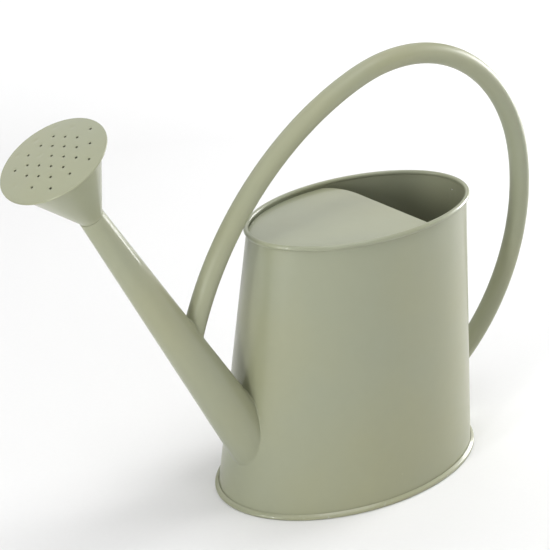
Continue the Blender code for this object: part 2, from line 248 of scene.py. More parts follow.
@dataclass(frozen=True)
class PaintFinish:
    """Glossy sage paint on sheet steel.

    The colour drifts a little over the sheet, dust nibs show in it as fine paler points, and scuffs near the
    ground and on `rubbed` pieces make it paler and duller, down to bare steel in spots. Its height is the sum
    of orange peel, the sheet's slow waviness and, on solder, the lumps under the paint.
    """

    name: str
    colour: tuple[float, float, float] = (0.298, 0.310, 0.208)
    steel: tuple[float, float, float] = (0.50, 0.50, 0.49)
    roughness: float = 0.34
    gloss: float = 0.3
    drift_scale: float = 7.0
    grain_scale: float = 95.0
    patch_scale: float = 240.0
    smear_scale: float = 22.0
    peel_scale: float = 620.0
    peel_height: float = 0.000008
    wave_scale: float = 13.0
    wave_height: float = 0.0006
    lump_scale: float = 170.0
    lump_height: float = 0.0
    nib_scale: float = 48.0
    nib_size: float = 0.026
    nib_height: float = 0.00002
    paint_depth: float = 0.00004
    scuff_top: float = 0.0045
    rubbed: float = 0.0

    def material(self) -> bpy.types.Material:
        """Builds the finish, or finds it if it was built before.

        Returns:
            The material.
        """
        if self.name in bpy.data.materials:
            return bpy.data.materials[self.name]
        made, net = new_material(self.name)
        place = net.object_place()

        drift = net.noise(place, self.drift_scale, 3.0)
        grain = net.noise(place, self.grain_scale, 4.0, 0.6)
        warm = (self.colour[0] * 1.035, self.colour[1] * 1.01, self.colour[2] * 0.95, 1.0)
        cool = (self.colour[0] * 0.97, self.colour[1] * 0.985, self.colour[2] * 1.03, 1.0)
        paint = net.blend(drift.ramp(0.35, 0.65), cool, warm)
        paint = net.blend(grain.ramp(0.35, 0.85) * 0.10, paint, opaque(self.colour, 0.80))

        cells = net.node("ShaderNodeTexVoronoi", {}, {"Vector": place, "Scale": self.nib_scale})["Distance"]
        nibs = cells.ramp(self.nib_size, self.nib_size * 0.4) * drift.ramp(0.47, 0.52)
        paint = net.blend(nibs * 0.5, paint, opaque(self.colour, 1.5))

        height = net.node("ShaderNodeSeparateXYZ", {}, {"Vector": place})["Z"]
        patches = net.noise(place, self.patch_scale, 6.0, 0.7)
        low = height.ramp(self.scuff_top, 0.0006)
        scuffs = (low * patches.ramp(0.50, 0.62) * 0.5 + self.rubbed * patches.ramp(0.40, 0.60)).clamped()
        paint = net.blend(scuffs * 0.55, paint, opaque(self.colour, 1.25))
        bare = (scuffs * patches.ramp(0.60, 0.66)).clamped()
        paint = net.blend(bare, paint, opaque(self.steel))

        smears = net.noise(place, self.smear_scale, 4.0, 0.65).ramp(0.42, 0.72)
        roughness = self.roughness + smears * 0.07 + scuffs * 0.25 + nibs * 0.2
        relief = net.noise(place, self.peel_scale, 1.0) * self.peel_height
        relief = relief + net.noise(place, self.wave_scale, 0.0) * self.wave_height
        relief = relief - bare * self.paint_depth + nibs * self.nib_height
        if self.lump_height:
            relief = relief + net.noise(place, self.lump_scale, 1.0) * self.lump_height
        bump = {"Height": relief, "Distance": 1.0, "Strength": 1.0}
        net.surface(
            {
                "Base Color": paint,
                "Roughness": roughness.clamped(),
                "Metallic": bare * 0.9,
                "Normal": net.node("ShaderNodeBump", {}, bump)["Normal"],
                "IOR": 1.45,
                "Specular IOR Level": 0.4,
                "Coat Weight": self.gloss,
                "Coat Roughness": 0.05,
            }
        )
        return made


@dataclass(frozen=True)
class WireFinish:
    """Drawn steel wire: fine streaks round it and a thin bloom of grey oxide."""

    name: str
    colour: tuple[float, float, float] = (0.56, 0.57, 0.58)
    streak_scale: float = 900.0

    def material(self) -> bpy.types.Material:
        """Builds the finish.

        Returns:
            The material.
        """
        made, net = new_material(self.name)
        place = net.object_place()
        stretched = net.node("ShaderNodeMapping", {}, {"Vector": place, "Scale": (0.05, 0.05, 1.0)})["Vector"]
        streaks = net.noise(stretched, self.streak_scale, 3.0)
        bloom = net.noise(place, 60.0, 4.0).ramp(0.45, 0.75)
        colour = net.blend(bloom, opaque(self.colour), opaque(self.colour, 0.6))
        roughness = 0.3 + streaks * 0.2 + bloom * 0.2
        net.surface({"Base Color": colour, "Metallic": 1.0 - bloom * 0.4, "Roughness": roughness})
        return made


SHEET_PAINT = PaintFinish("sage_paint_on_sheet")
TUBE_PAINT = PaintFinish("sage_paint_on_tube", wave_scale=30.0, wave_height=0.0002)
HOOP_PAINT = PaintFinish(
    "sage_paint_on_hoop", wave_scale=30.0, wave_height=0.0002, roughness=0.42, gloss=0.05
)
SOLDER_PAINT = PaintFinish("sage_paint_on_solder", wave_height=0.0, lump_height=0.00016)
RUBBED_PAINT = PaintFinish("sage_paint_rubbed", wave_height=0.0, rubbed=0.75)
DRAWN_WIRE = WireFinish("drawn_wire")


# ---------------------------------------------------------------- surfaces


def once_round(steps: int) -> np.ndarray:
    """Angles evenly spaced round a full turn, from 0."""
    return np.linspace(0.0, FULL_TURN, steps, endpoint=False)


def circle(turn: np.ndarray, first: np.ndarray, second: np.ndarray) -> np.ndarray:
    """cos turn * first + sin turn * second."""
    return np.cos(turn)[..., None] * first + np.sin(turn)[..., None] * second


def unit(vectors: np.ndarray) -> np.ndarray:
    """Vectors divided by their lengths."""
    return vectors / np.linalg.norm(vectors, axis=-1, keepdims=True)


def facing(vectors: np.ndarray, towards: np.ndarray) -> np.ndarray:
    """Unit vectors, each turned round if it points away from its `towards`."""
    made = unit(vectors)
    return made * np.sign(np.sum(made * towards, axis=-1, keepdims=True))


def put_in_scene(name: str, data: bpy.types.ID) -> bpy.types.Object:
    """Makes an object and adds it to the scene.

    Args:
        name: the object's name.
        data: its mesh, light or camera.

    Returns:
        The object, at the origin.
    """
    made = bpy.data.objects.new(name, data)
    bpy.context.scene.collection.objects.link(made)
    return made


def grid_object(name: str, points: np.ndarray, along: bool = True) -> bpy.types.Object:
    """Puts a grid of points into a mesh of quads, point (i, j) next to (i + 1, j) and (i, j + 1).

    The last column joins the first.

    Args:
        name: the piece's name.
        points: an array of shape (rows, columns, 3).
        along: joins the last row to the first.

    Returns:
        The object, its coincident points merged and its faces pointing outwards.
    """
    index = np.arange(points.shape[0] * points.shape[1]).reshape(points.shape[:2])
    if along:
        index = np.vstack([index, index[:1]])
    index = np.hstack([index, index[:, :1]])
    corners = [index[:-1, :-1], index[:-1, 1:], index[1:, 1:], index[1:, :-1]]
    quads = np.stack(corners, axis=-1).reshape(-1, 4)
    mesh = bpy.data.meshes.new(name)
    mesh.from_pydata(points.reshape(-1, 3).tolist(), [], quads.tolist())
    bm = bmesh.new()
    bm.from_mesh(mesh)
    bmesh.ops.remove_doubles(bm, verts=bm.verts, dist=1e-6)
    bmesh.ops.dissolve_degenerate(bm, edges=bm.edges, dist=1e-7)
    bmesh.ops.recalc_face_normals(bm, faces=bm.faces)
    bm.to_mesh(mesh)
    bm.free()
    mesh.shade_smooth()
    mesh.set_sharp_from_angle(angle=SHARP_ANGLE)
    return put_in_scene(name, mesh)


def pin(name: str, foot: np.ndarray, top: np.ndarray, ring: np.ndarray) -> bpy.types.Object:
    """A closed pin for cutting a hole: a ring of points carried from its foot to its top."""
    taper = np.array([0.0, 1.0, 1.0, 0.0])[:, None, None]
    return grid_object(name, np.stack([foot, foot, top, top])[:, None] + taper * ring, along=False)


def joined(pieces: Sequence[bpy.types.Object]) -> bpy.types.Object:
    """Moves every mesh into the first object's and removes the other objects.

    Args:
        pieces: the mesh objects.

    Returns:
        The first of them.
    """
    bm = bmesh.new()
    for piece in pieces:
        bm.from_mesh(piece.data)
    bm.to_mesh(pieces[0].data)
    bm.free()
    for piece in pieces[1:]:
        bpy.data.objects.remove(piece, do_unlink=True)
    return pieces[0]


def close_with_one_face(piece: bpy.types.Object, chosen: Callable[[bmesh.types.BMEdge], bool]) -> None:
    """Fills rings of open edges, each with one flat face, and turns the faces outwards.

    Args:
        piece: the mesh object, changed in place.
        chosen: says whether an open edge is on a ring to fill.
    """
    bm = bmesh.new()
    bm.from_mesh(piece.data)
    bmesh.ops.holes_fill(bm, edges=[edge for edge in bm.edges if edge.is_boundary and chosen(edge)])
    bmesh.ops.recalc_face_normals(bm, faces=bm.faces)
    bm.to_mesh(piece.data)
    bm.free()


def carve(piece: bpy.types.Object, cutter: bpy.types.Object) -> None:
    """Cuts one closed mesh out of another for good, and removes the cutter.

    Args:
        piece: the mesh object that is cut.
        cutter: the mesh object that is taken out of it.
    """
    cut = piece.modifiers.new("Cut", "BOOLEAN")
    cut.solver = "EXACT"
    cut.object = cutter
    graph = bpy.context.evaluated_depsgraph_get()
    mesh = bpy.data.meshes.new_from_object(piece.evaluated_get(graph))
    piece.modifiers.remove(cut)
    piece.data = mesh
    mesh.set_sharp_from_angle(angle=SHARP_ANGLE)
    bpy.data.objects.remove(cutter, do_unlink=True)


def dress(piece: bpy.types.Object, finish: PaintFinish, body: Body, nodes: Sequence[str]) -> None:
    """Gives a piece its finish and its body, hides the frame nodes that it stands for, and reports it.

    Args:
        piece: the finished object.
        finish: the paint that it gets.
        body: what it rides on.
        nodes: the nodes that it replaces.
    """
    piece.data.materials.clear()
    piece.data.materials.append(finish.material())
    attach(piece, body.value)
    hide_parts(*nodes)
    LOG.info("%s stands for %s, %d faces", piece.name, ", ".join(nodes), len(piece.data.polygons))


def arc_points(centre: Sequence[float], radius: float, start: float, end: float, steps: int) -> np.ndarray:
    """Points on a circle's arc in a profile's plane, from one angle to another in degrees."""
    angles = np.radians(np.linspace(start, end, steps + 1))
    return np.stack([centre[0] + radius * np.cos(angles), centre[1] + radius * np.sin(angles)], axis=1)


def eased(start: np.ndarray, corner: np.ndarray, end: np.ndarray, share: np.ndarray) -> np.ndarray:
    """Points on a quadratic Bezier: (1 - t)^2 * start + 2 t (1 - t) * corner + t^2 * end."""
    return (1 - share) ** 2 * start + 2 * share * (1 - share) * corner + share**2 * end


def rounded(corners: Sequence[Sequence[float]], radius: float, steps: int = 5) -> np.ndarray:
    """Eases the inner corners of a profile, each by a Bezier that starts `radius` before it.

    Args:
        corners: the profile's points.
        radius: where the easing starts, at most halfway to the next corner.
        steps: how many pieces each easing has.

    Returns:
        The eased profile's points.
    """
    path = np.array(corners, float)
    share = np.linspace(0.0, 1.0, steps + 1)[:, None]
    runs = [path[:1]]
    for before, corner, after in zip(path[:-2], path[1:-1], path[2:]):
        back = before - corner
        ahead = after - corner
        start = corner + back * min(radius / np.linalg.norm(back), 0.5)
        end = corner + ahead * min(radius / np.linalg.norm(ahead), 0.5)
        runs.append(eased(start, corner, end, share))
    runs.append(path[-1:])
    return np.vstack(runs)


def thickened(path: np.ndarray, thickness: float) -> np.ndarray:
    """The outline of a sheet whose middle follows a path: the path, moved half a thickness each way.

    Args:
        path: points in the profile's plane.
        thickness: the sheet's thickness.

    Returns:
        The path's left side, then its right side backwards.
    """
    heading = unit(np.gradient(path, axis=0))
    aside = np.stack([-heading[:, 1], heading[:, 0]], axis=1) * thickness / 2
    return np.vstack([path + aside, (path - aside)[::-1]])


def halved(depth: Depth, inner: np.ndarray, outer: np.ndarray) -> np.ndarray:
    """Finds where a surface is crossed between two points, by keeping the half that crosses it, 40 times.

    Args:
        depth: the surface's signed depth.
        inner: points inside it.
        outer: points outside it.

    Returns:
        The share of the way from `inner` to `outer`, for each pair.
    """
    low = np.zeros(inner.shape[:-1])
    high = np.ones(inner.shape[:-1])
    for _ in range(40):
        middle = (low + high) / 2
        inside = depth(inner + (outer - inner) * middle[..., None]) < 0.0
        low = np.where(inside, middle, low)
        high = np.where(inside, high, middle)
    return (low + high) / 2


def slope(depth: Depth, points: np.ndarray) -> np.ndarray:
    """The outward unit normal of a surface, by central differences.

    Args:
        depth: the surface's signed depth.
        points: where it is wanted.

    Returns:
        One normal for each point.
    """
    step = 1e-5
    parts = [depth(points + step * axis) - depth(points - step * axis) for axis in np.eye(3)]
    return unit(np.stack(parts, axis=-1))


def snapped(depth: Depth, points: np.ndarray) -> np.ndarray:
    """Moves points along the normal onto a surface, in three steps.

    Args:
        depth: the surface's signed depth.
        points: the points, close to it.

    Returns:
        The points on it.
    """
    for _ in range(3):
        points = points - depth(points)[..., None] * slope(depth, points)
    return points


def fillet_ring(
    name: str, junction: np.ndarray, up: np.ndarray, depth: Depth, reach: np.ndarray
) -> bpy.types.Object:
    """A bead of solder round a joint: a curve from the tube to the wall at each point, swept round the joint.

    The curve is a quadratic Bezier from the tube, `reach` up it, through the joint to the wall, `reach` out
    on it. A last point under the joint closes the section.

    Args:
        name: the piece's name.
        junction: where the tube's outside meets the wall, one point for each step round.
        up: unit vectors along the tube, away from the wall.
        depth: the wall's signed depth.
        reach: how far the bead reaches, one number for each step round.

    Returns:
        The bead.
    """
    edge_sunk = 0.00012
    root_sunk = 0.0004
    wall_normal = slope(depth, junction)
    tangent = np.roll(junction, -1, axis=0) - np.roll(junction, 1, axis=0)
    outwards = junction - junction.mean(axis=0)
    out = facing(np.cross(wall_normal, tangent), outwards)
    inward = facing(np.cross(up, tangent), -outwards)
    reach = reach[:, None]
    start = junction + up * reach + inward * edge_sunk
    end = snapped(depth, junction + out * reach) - wall_normal * edge_sunk
    middle = junction + (up + out) * reach * 0.10
    curve = eased(start, middle, end, np.linspace(0.0, 1.0, 13)[:, None, None])
    root = junction + (inward - wall_normal) * root_sunk
    return grid_object(name, np.concatenate([curve, root[None]], axis=0))


# ---------------------------------------------------------------- sizes


@dataclass(frozen=True)
class Gauge:
    """Sizes that several pieces share.

    `sheet` is the sheet's thickness and `gap` the usual clearance between two pieces. The base seam stands
    `seam_proud` out from the wall. The frame's rolled rim has an outer radius of `curl_radius`, and its
    outside is `wire_cover` beyond the rim wire's.
    """

    sheet: float = 0.0006
    gap: float = 0.0003
    seam_proud: float = 0.0030
    curl_radius: float = 0.00155
    wire_cover: float = 0.0009


GAUGE = Gauge()


@dataclass
class TankShape:
    """The oval tank: an ellipse at each height, its half sizes and centre going straight from base to rim."""

    centre_x: float
    base_half_length: float
    base_half_width: float
    rim_centre_x: float
    rim_half_length: float
    rim_half_width: float
    height: float

    @classmethod
    def from_frame(cls) -> "TankShape":
        """Reads the tank's oval from the frame's base pan and rim wire.

        Returns:
            The shape of the wall's outer face.
        """
        base_low, base_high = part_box("base_pan")
        rim_low, rim_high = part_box("rim_wire")
        rim_inset = 2 * GAUGE.curl_radius - GAUGE.sheet - GAUGE.wire_cover
        return cls(
            centre_x=(base_low.x + base_high.x) / 2,
            base_half_length=(base_high.x - base_low.x) / 2 - GAUGE.seam_proud,
            base_half_width=(base_high.y - base_low.y) / 2 - GAUGE.seam_proud,
            rim_centre_x=(rim_low.x + rim_high.x) / 2,
            rim_half_length=(rim_high.x - rim_low.x) / 2 - rim_inset,
            rim_half_width=(rim_high.y - rim_low.y) / 2 - rim_inset,
            height=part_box("tank_wall")[1].z,
        )

    def size_at(self, height: Numbers) -> tuple[Numbers, Numbers, Numbers]:
        """The oval of the outer face at a height.

        Args:
            height: above the ground.

        Returns:
            Its half length, half width and centre x.
        """
        share = height / self.height
        half_length = (1 - share) * self.base_half_length + share * self.rim_half_length
        half_width = (1 - share) * self.base_half_width + share * self.rim_half_width
        centre = (1 - share) * self.centre_x + share * self.rim_centre_x
        return half_length, half_width, centre

    def point(self, turn: Numbers, outwards: Numbers, height: Numbers) -> np.ndarray:
        """centre + (half size + outwards) * (cos turn, sin turn), at a height.

        Args:
            turn: the angle round the oval, 0 at the back.
            outwards: how far outside the outer face.
            height: above the ground.

        Returns:
            The points, one for each set of arguments.
        """
        turn, outwards, height = np.broadcast_arrays(turn, outwards, height)
        half_length, half_width, centre = self.size_at(height)
        x = centre + (half_length + outwards) * np.cos(turn)
        y = (half_width + outwards) * np.sin(turn)
        return np.stack([x, y, height], axis=-1)

    def depth(self, points: np.ndarray) -> np.ndarray:
        """Signed distance, to first order, from the wall's outer face.

        Args:
            points: where it is wanted.

        Returns:
            The distances, negative inside the tank.
        """
        half_length, half_width, centre = self.size_at(points[..., 2])
        across = (points[..., 0] - centre) / half_length
        aside = points[..., 1] / half_width
        size = np.sqrt(across**2 + aside**2)
        steepness = np.sqrt((across / half_length) ** 2 + (aside / half_width) ** 2)
        return (size - 1.0) * size / np.maximum(steepness, 1e-6)


@dataclass
class SpoutShape:
    """The spout: a straight cone, its mouth at the upper end.

    It meets the tank between `root_near` and `root_far` below the mouth.
    """

    axis: np.ndarray
    mouth: np.ndarray
    mouth_radius: float = 0.0092
    spread: float = 0.0410
    root_near: float = 0.150
    root_far: float = 0.300

    @classmethod
    def from_frame(cls, frame: dict[str, object]) -> "SpoutShape":
        """Reads the spout's direction from the rose's joint and the mouth's place from the spout's box.

        Args:
            frame: the loaded frame.

        Returns:
            The shape of the spout's outer face.
        """
        joint = next(j for j in frame["joints"] if j["name"] == "rose_pull")
        axis = unit(np.array(joint["axis"], float))
        low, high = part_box("spout")
        mouth = np.array([low.x + cls.mouth_radius * axis[2], 0.0, high.z + cls.mouth_radius * axis[0]])
        return cls(axis=axis, mouth=mouth)

    @property
    def across(self) -> np.ndarray:
        """The direction up across the spout, in the can's middle plane."""
        return np.array([self.axis[2], 0.0, -self.axis[0]])

    def point(self, turn: Numbers, below: Numbers, outwards: Numbers) -> np.ndarray:
        """mouth - below * axis + (radius + outwards) * (cos turn * across + sin turn * Y).

        Args:
            turn: the angle round the axis, 0 on the upper side.
            below: how far down the axis from the mouth.
            outwards: how far outside the outer face.

        Returns:
            The points, one for each set of arguments.
        """
        turn, below, outwards = np.broadcast_arrays(turn, below, outwards)
        radius = self.mouth_radius + self.spread * below + outwards
        ring = circle(turn, self.across, Y_AXIS)
        return self.mouth - below[..., None] * self.axis + radius[..., None] * ring

    def depth(self, points: np.ndarray) -> np.ndarray:
        """Signed distance, to first order, from the spout's outer face.

        Args:
            points: where it is wanted.

        Returns:
            The distances, negative inside the spout.
        """
        offset = points - self.mouth
        along = offset @ self.axis
        aside = np.linalg.norm(offset - along[..., None] * self.axis, axis=-1)
        return aside - (self.mouth_radius - self.spread * along)


# ---------------------------------------------------------------- tank


@dataclass
class Tank:
    """The tank: wall with wired rim, base pan with double seam, half cover, inner seam and wire."""

    shape: TankShape
    steps: int = 384
    foot_under: float = 0.0014
    foot_top: float = 0.0020
    side_start: float = 0.0085
    seam_height: float = 0.0033
    seam_drop: float = 0.0012
    floor_height: float = 0.0048
    floor_edge: float = 0.0220
    bead_radius: float = 0.00195
    bead_reach: float = 0.0025
    neck_ease: float = 0.0012
    lap_width: float = 0.0080
    lap_crown: float = 0.0002
    lap_fade: float = 0.0100
    hang_hole_radius: float = 0.0006
    hang_hole_drop: float = 0.0112
    pin_reach: float = 0.0040
    cover_recess: float = 0.0046
    cover_flange: float = 0.0060
    cover_hem: float = 0.0022
    cover_bend: float = 0.0011
    cover_corner: float = 0.0030
    cover_edge: float = 0.0347
    corner_fall: float = 0.0120
    corner_start: float = 0.0240
    plate_middle: float = 0.0300
    turns: np.ndarray = field(init=False)

    def __post_init__(self) -> None:
        """Spaces the steps round the oval evenly."""
        self.turns = once_round(self.steps)

    def swept(self, profile: np.ndarray) -> np.ndarray:
        """A profile of (outwards, height) carried round the oval."""
        return self.shape.point(self.turns, profile[:, :1], profile[:, 1:])

    def wall_profile(self) -> np.ndarray:
        """The wall's section: turned-out foot, straight side, eased neck, bead over the wire, inner face.

        Returns:
            Points of (outwards, height), once round the section.
        """
        sheet = GAUGE.sheet
        curl = self.bead_radius
        top = self.shape.height - curl
        bead = (self.bead_reach - curl, top)
        step = 0.0002
        foot = GAUGE.seam_proud - sheet - 2 * GAUGE.gap
        outer = [[foot, self.foot_top], [0.0, self.foot_top], [0.0, self.side_start - 0.0010]]
        side_end = top - curl - self.neck_ease - 0.0020
        side = np.stack([np.zeros(40), np.linspace(self.side_start, side_end, 40)], axis=1)
        join = math.acos((step - bead[0]) / curl)
        meet = (bead[0] + curl * math.cos(join), bead[1] - curl * math.sin(join))
        neck = [[0.0, meet[1] - 2.2 * self.neck_ease], [0.0, meet[1] - 0.3 * self.neck_ease], meet]
        inner_join = FULL_TURN - math.acos((-sheet - bead[0]) / curl)
        roll = arc_points(bead, curl, 10.0 - math.degrees(join), math.degrees(inner_join), 48)
        inner_heights = np.linspace(roll[-1, 1] - step, self.foot_top + 0.0004, 30)
        inner = np.stack([np.full(30, -sheet), inner_heights], axis=1)
        heel = [[-sheet, self.foot_under], [foot, self.foot_under]]
        return np.vstack([rounded(outer, sheet), side, rounded(neck, 0.0020, 6), roll, inner, heel])

    def build_wall(self, spout: SpoutShape) -> None:
        """Makes the wall, with the hole behind the spout and the small hole high in the back.

        Args:
            spout: the spout that the hole is made for.
        """
        wall = grid_object("tank_wall_sheet", self.swept(self.wall_profile()))
        below = np.repeat([spout.root_near, spout.root_far], 2)[:, None]
        taper = np.array([0.0, 1.0, 1.0, 0.0])[:, None, None]
        bore = spout.point(once_round(64), below, -2.0 * GAUGE.sheet)
        core = spout.mouth - below[..., None] * spout.axis
        carve(wall, grid_object("spout_hole", core + (bore - core) * taper, along=False))
        carve(wall, self.hang_hole_pin())
        dress(wall, SHEET_PAINT, Body.CAN, ["tank_wall"])

    def hang_hole_pin(self) -> bpy.types.Object:
        """Makes a pin through the back wall, for cutting the small hole that the can hangs by.

        Returns:
            The pin.
        """
        back = self.shape.point(0.0, 0.0, self.shape.height - self.hang_hole_drop)
        ring = self.hang_hole_radius * circle(once_round(24), Y_AXIS, Z_AXIS)
        return pin("hang_hole", back - self.pin_reach * X_AXIS, back + self.pin_reach * X_AXIS, ring)

    def build_base(self) -> None:
        """Makes the base pan: a raised floor, and an edge folded down and up round the wall's foot."""
        sheet = GAUGE.sheet
        inside = -sheet - GAUGE.gap - sheet / 2
        outside = GAUGE.seam_proud - sheet / 2
        corners = [
            [-self.floor_edge, self.floor_height],
            [inside, self.floor_height],
            [inside, sheet / 2],
            [outside, sheet / 2],
            [outside, self.seam_height - self.seam_drop],
            [sheet / 2, self.seam_height + GAUGE.gap],
        ]
        edge = thickened(rounded(corners, 0.0010, 5), sheet)
        fold = self.swept(edge)
        middle = self.shape.centre_x * X_AXIS
        shares = np.linspace(1.0, 0.0, 14)[1:, None, None]
        scaling = shares * (X_AXIS + Y_AXIS) + Z_AXIS
        upper, lower = (middle * (1.0 - shares) + row * scaling for row in (fold[0], fold[-1]))
        base = grid_object("base_pan_sheet", np.concatenate([upper[::-1], fold, lower]), along=False)
        dress(base, SHEET_PAINT, Body.CAN, ["base_pan"])

    def clear_of(self, path: np.ndarray, ends: Sequence[np.ndarray]) -> np.ndarray:
        """The points of a path that are more than `cover_corner` from its ends."""
        gaps = [np.linalg.norm(path - end, axis=1) for end in ends]
        return path[np.min(gaps, axis=0) > self.cover_corner]

    def cover_outline(self) -> tuple[np.ndarray, np.ndarray]:
        """The cover's outline in plan and how deep its edge is turned down at each point.

        The front follows the oval from one end of the back edge to the other. The back edge is straight from
        the -Y side, and falls forward towards its +Y corner as fall * ((y - start) / (end - start))^3. Both
        corners are eased over `cover_corner` each way.

        Returns:
            The outline's points, and how far the edge turns down at each.
        """
        level = self.shape.height - self.cover_recess
        half_length, half_width, centre = self.shape.size_at(level)
        clear = GAUGE.sheet + GAUGE.gap
        edge_x = self.shape.centre_x + self.cover_edge
        first = math.acos((edge_x - self.corner_fall - centre) / (half_length - clear))
        last = FULL_TURN - math.acos((edge_x - centre) / (half_length - clear))
        turn = np.linspace(first, last, 260)
        spread = [centre + (half_length - clear) * np.cos(turn), (half_width - clear) * np.sin(turn)]
        front = np.stack(spread, axis=1)
        across = np.linspace(front[-1, 1], front[0, 1], 122)[1:-1]
        fall = np.maximum(across - self.corner_start, 0.0) / (front[0, 1] - self.corner_start)
        back = np.stack([edge_x - self.corner_fall * fall**3, across], axis=1)
        near, far = front[-1], front[0]
        front, back = (self.clear_of(path, (near, far)) for path in (front, back))
        share = np.linspace(0.0, 1.0, 10)[1:-1, None]
        parts = (
            (front, self.cover_flange),
            (eased(front[-1], near, back[0], share), self.cover_hem),
            (back, self.cover_hem),
            (eased(back[-1], far, front[0], share), self.cover_hem),
        )
        outline = np.vstack([part for part, _ in parts])
        return outline, np.concatenate([np.full(len(part), drop) for part, drop in parts])

    def build_cover(self) -> None:
        """Makes the half cover: a flat plate whose edge turns down through a round bend."""
        outline, depth = self.cover_outline()
        level = self.shape.height - self.cover_recess
        heading = np.roll(outline, -1, axis=0) - np.roll(outline, 1, axis=0)
        inward = unit(np.stack([-heading[:, 1], heading[:, 0]], axis=1))
        centre = np.array([self.shape.rim_centre_x - self.plate_middle, 0.0])
        shoulder = outline + inward * self.cover_bend
        shares = np.linspace(0.5, 1.0, 6)[:, None, None]
        plate = centre + (shoulder - centre) * shares
        bend = np.radians(np.linspace(0.0, 90.0, 7)[1:])[:, None, None]
        bent = outline + inward * self.cover_bend * (1.0 - np.sin(bend))
        drop = self.cover_bend * (1.0 - np.cos(bend[..., 0])) + 0.0 * depth
        flange = np.linspace(0.0, 1.0, 5)[1:, None] * (depth - self.cover_bend) + self.cover_bend
        plan = np.concatenate([plate, bent, np.repeat(outline[None], 4, axis=0)], axis=0)
        height = level - np.concatenate([np.zeros(plate.shape[:2]), drop, flange], axis=0)
        cover = grid_object("front_cover_sheet", np.dstack([plan, height]), along=False)
        close_with_one_face(cover, lambda edge: abs(edge.verts[0].co.z - level) < 1e-6)
        shell = cover.modifiers.new("Solidify", "SOLIDIFY")
        shell.thickness = GAUGE.sheet
        shell.offset = -1.0
        dress(cover, SHEET_PAINT, Body.CAN, ["front_cover"])

    def build_inner_seam(self) -> None:
        """Makes the seam up the inside of the back: a ridge, crown * cos^2 across it, fading at its ends."""
        low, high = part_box("wall_lap_seam")
        height = np.linspace(low.z, high.z, 60)[:, None]
        share = np.linspace(-1.0, 1.0, 21)[None, :]
        half_width = self.shape.size_at(height)[1]
        turn = share * self.lap_width / 2 / half_width
        fade = np.clip(np.minimum(height - low.z, high.z - height) / self.lap_fade, 0.0, 1.0)
        crown = self.lap_crown * fade * np.cos(share * math.pi / 2) ** 2
        face = self.shape.point(turn, -GAUGE.sheet - crown - 0.00002, height)
        hidden = self.shape.point(turn, -GAUGE.sheet / 2, height)
        seam = grid_object("inner_seam", np.concatenate([face, hidden[:, ::-1]], axis=1), along=False)
        close_with_one_face(seam, lambda edge: True)
        carve(seam, self.hang_hole_pin())
        dress(seam, SOLDER_PAINT, Body.CAN, ["wall_lap_seam"])

    def dress_wire(self, nodes: dict[str, bpy.types.Object]) -> None:
        """Gives the wire in the rim and the bead under the cover, which stay as they are, their finishes.

        Args:
            nodes: the frame's objects, by node.
        """
        for name, finish in (("rim_wire", DRAWN_WIRE), ("cover_solder", SOLDER_PAINT)):
            made = finish.material()
            if not nodes[name].material_slots:
                nodes[name].data.materials.append(made)
            nodes[name].material_slots[0].material = made
            LOG.info("%s keeps its solid", name)


# ---------------------------------------------------------------- spout


@dataclass
class Spout:
    """The tapered spout and the solder round its root."""

    shape: SpoutShape
    tank: TankShape
    steps: int = 96
    lip_proud: float = 0.00012
    lip_width: float = 0.0013
    seam_proud: float = 0.00035
    seam_width: float = 0.0035
    bead: float = 0.0015

    def root(self, turn: np.ndarray, outwards: float) -> np.ndarray:
        """Finds where lines along the cone meet the tank's outer face.

        Args:
            turn: the lines' angles round the axis.
            outwards: how far outside the cone's outer face they run.

        Returns:
            How far below the mouth each line meets it.
        """
        near, far = self.shape.root_near, self.shape.root_far
        outer, inner = (self.shape.point(turn, below, outwards) for below in (near, far))
        return far + (near - far) * halved(self.tank.depth, inner, outer)

    def build_tube(self) -> None:
        """Makes the spout: outer cone with a slight lip at the mouth, inner cone, both ending at the wall.

        The seam along the underside is a step: it rises at once and fades out over its width.
        """
        turn = once_round(self.steps)
        lip_share = 0.012
        outer_share = np.concatenate([np.linspace(0.0, lip_share, 10)[:-1], np.linspace(lip_share, 1.0, 90)])
        below = outer_share[:, None] * self.root(turn, 0.0)
        lip = self.lip_proud * np.exp(-((below / self.lip_width) ** 2))
        arc = (turn - math.pi) * (self.shape.mouth_radius + self.shape.spread * below)
        seam = self.seam_proud * np.clip(1.0 - arc / self.seam_width, 0.0, 1.0) * (arc > 0.0)
        outer = self.shape.point(turn, below, lip + seam)
        inner_below = np.linspace(1.0, 0.0, 40)[:, None] * self.root(turn, -GAUGE.sheet)
        inner = self.shape.point(turn, inner_below, -GAUGE.sheet)
        rim_turn = np.radians(np.linspace(180.0, 0.0, 7)[1:-1])[:, None]
        half = (GAUGE.sheet + self.lip_proud) / 2
        rim_out = (self.lip_proud - GAUGE.sheet) / 2 + half * np.cos(rim_turn)
        rim = self.shape.point(turn, -half * np.sin(rim_turn), rim_out)
        dress(grid_object("spout_tube", np.concatenate([outer, inner, rim])), TUBE_PAINT, Body.CAN, ["spout"])

    def build_bead(self) -> None:
        """Makes the solder round the root, a little uneven: reach = size * (1 + sum of three sines)."""
        turn = once_round(160)
        below = self.root(turn, 0.0)
        junction = self.shape.point(turn, below, 0.0)
        above = self.shape.point(turn, below - 0.01, 0.0)
        uneven = 0.10 * np.sin(2 * turn + 0.6) + 0.06 * np.sin(5 * turn) + 0.04 * np.sin(11 * turn + 2.0)
        reach = self.bead * (1.0 + uneven)
        bead = fillet_ring("spout_root_solder", junction, unit(above - junction), self.tank.depth, reach)
        dress(bead, SOLDER_PAINT, Body.CAN, ["spout_solder"])


# ---------------------------------------------------------------- handle


